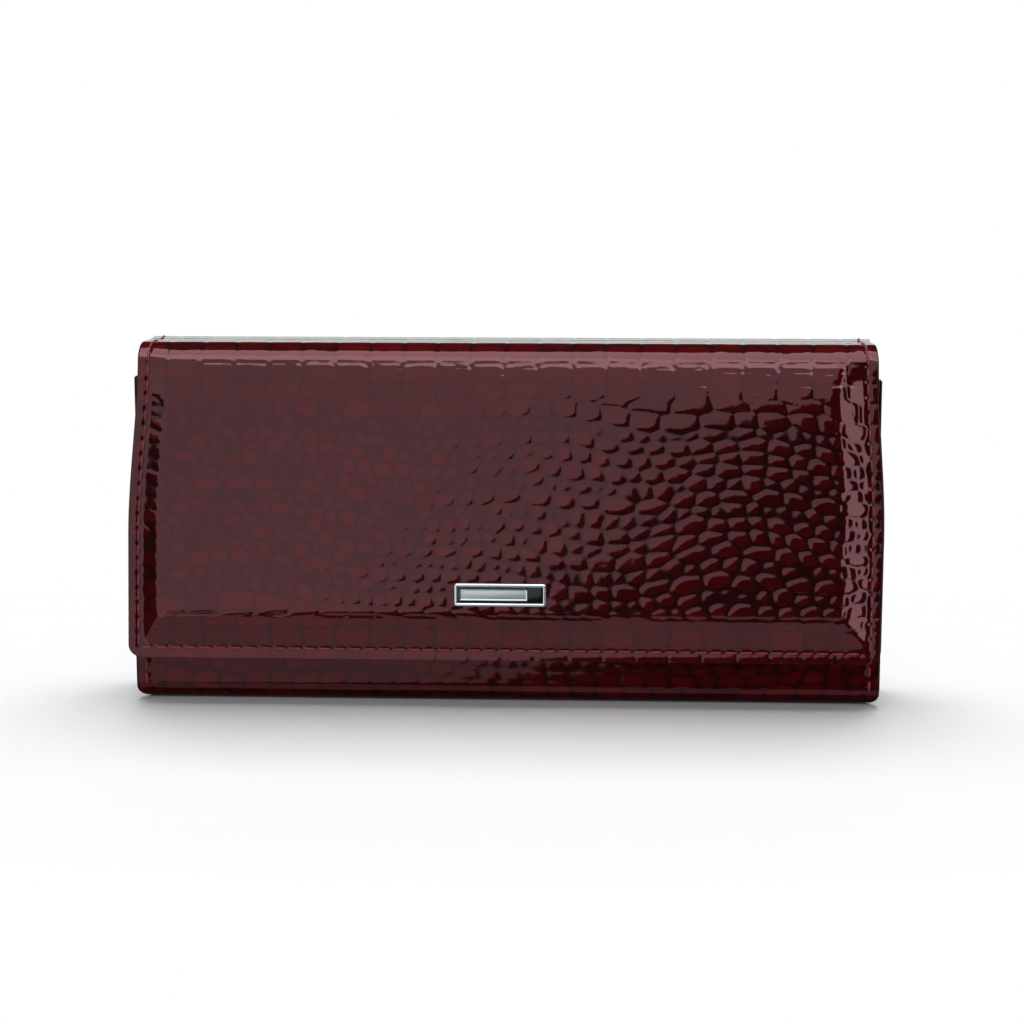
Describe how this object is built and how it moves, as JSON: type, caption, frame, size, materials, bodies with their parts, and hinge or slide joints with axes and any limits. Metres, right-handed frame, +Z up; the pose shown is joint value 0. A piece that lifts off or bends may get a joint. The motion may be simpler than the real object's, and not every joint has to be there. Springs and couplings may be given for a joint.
{
  "type": "long flap wallet",
  "caption": "Long wallet with a padded fold-over flap, metal plaque and snap, accordion compartments and a zipped coin pocket.",
  "frame": {"origin": "middle of the footprint, on the surface that the wallet stands on; bottom centre of the closed wallet's box", "axes": "+X along the wallet to the viewer's right, -Y out of the flap's face, +Z up from the bottom fold to the top band"},
  "size_m": [0.1898, 0.028, 0.092],
  "materials": {
    "patent_leather": "high-gloss patent, embossed with a reptile scale pattern",
    "gusset_leather": "smooth semi-matte",
    "slot_leather": "smooth semi-gloss",
    "lining": "fine twill lining",
    "board": "matte fibre board",
    "foam": "matte foam sheet",
    "thread": "twisted polyester thread",
    "chrome": "polished",
    "enamel": "glossy black enamel",
    "satin_metal": "satin",
    "snap_metal": "polished nickel",
    "zip_metal": "nickel-plated",
    "tape": "woven zipper tape"
  },
  "bodies": {
    "case": {"back_leather": "patent_leather", "back_board": "board", "back_lining": "lining", "floor_lining": "lining", "gusset_left": "gusset_leather", "gusset_right": "gusset_leather", "coin_pocket_front": "lining", "coin_pocket_back": "lining", "coin_pocket_floor": "lining", "zipper_end_tab_left": "gusset_leather", "zipper_end_tab_right": "gusset_leather", "back_stitching": "thread"},
    "front_pocket": {"front_leather": "patent_leather", "front_board": "board", "front_lining": "lining", "front_stitching": "thread", "snap_stud": "snap_metal", "snap_rivet": "snap_metal"},
    "spine": {"spine_leather": "patent_leather", "spine_lining": "lining", "spine_stitching": "thread"},
    "flap": {"flap_leather": "patent_leather", "flap_foam": "foam", "flap_board": "board", "flap_lining": "lining", "card_slot_1": "slot_leather", "card_slot_2": "slot_leather", "card_slot_3": "slot_leather", "card_slot_4": "slot_leather", "flap_stitching": "thread", "snap_socket": "snap_metal", "snap_eyelet": "snap_metal", "plaque_frame": "chrome", "plaque_enamel": "enamel", "plaque_bar": "satin_metal"},
    "tape_front": {"zipper_tape_front": "tape", "zipper_teeth_front": "zip_metal"},
    "tape_back": {"zipper_tape_back": "tape", "zipper_teeth_back": "zip_metal"},
    "slider": {"zipper_slider": "zip_metal"},
    "pull": {"zipper_pull": "zip_metal"}
  },
  "joints": [
    {"name": "spine_fold", "type": "hinge", "parent": "case", "child": "spine", "pos_m": [0, 0.01216, 0.09016], "axis": [-1, 0, 0], "range_deg": [0, 90]},
    {"name": "flap_fold", "type": "hinge", "parent": "spine", "child": "flap", "pos_m": [0, -0.00906, 0.09016], "axis": [-1, 0, 0], "range_deg": [0, 90]},
    {"name": "front_pocket_tilt", "type": "hinge", "parent": "case", "child": "front_pocket", "pos_m": [0, -0.0062, 0.005], "axis": [1, 0, 0], "range_deg": [0, 8]},
    {"name": "zipper_slide", "type": "slide", "parent": "case", "child": "slider", "axis": [-1, 0, 0], "range_m": [0, 0.149]},
    {"name": "tape_front_part", "type": "hinge", "parent": "case", "child": "tape_front", "pos_m": [0, 0.00055, 0.062], "axis": [1, 0, 0], "range_deg": [0, 20]},
    {"name": "tape_back_part", "type": "hinge", "parent": "case", "child": "tape_back", "pos_m": [0, 0.00545, 0.062], "axis": [-1, 0, 0], "range_deg": [0, 20]},
    {"name": "pull_swing", "type": "hinge", "parent": "slider", "child": "pull", "pos_m": [0.0745, 0.003, 0.07385], "axis": [0, -1, 0], "range_deg": [0, 180]}
  ],
  "couplings": [
    {"joint": "flap_fold", "follows": "spine_fold", "ratio": 1},
    {"joint": "front_pocket_tilt", "follows": "spine_fold", "ratio": 0.088888},
    {"joint": "tape_front_part", "follows": "zipper_slide", "rad_per_m": 2.3427},
    {"joint": "tape_back_part", "follows": "zipper_slide", "rad_per_m": 2.3427}
  ]
}
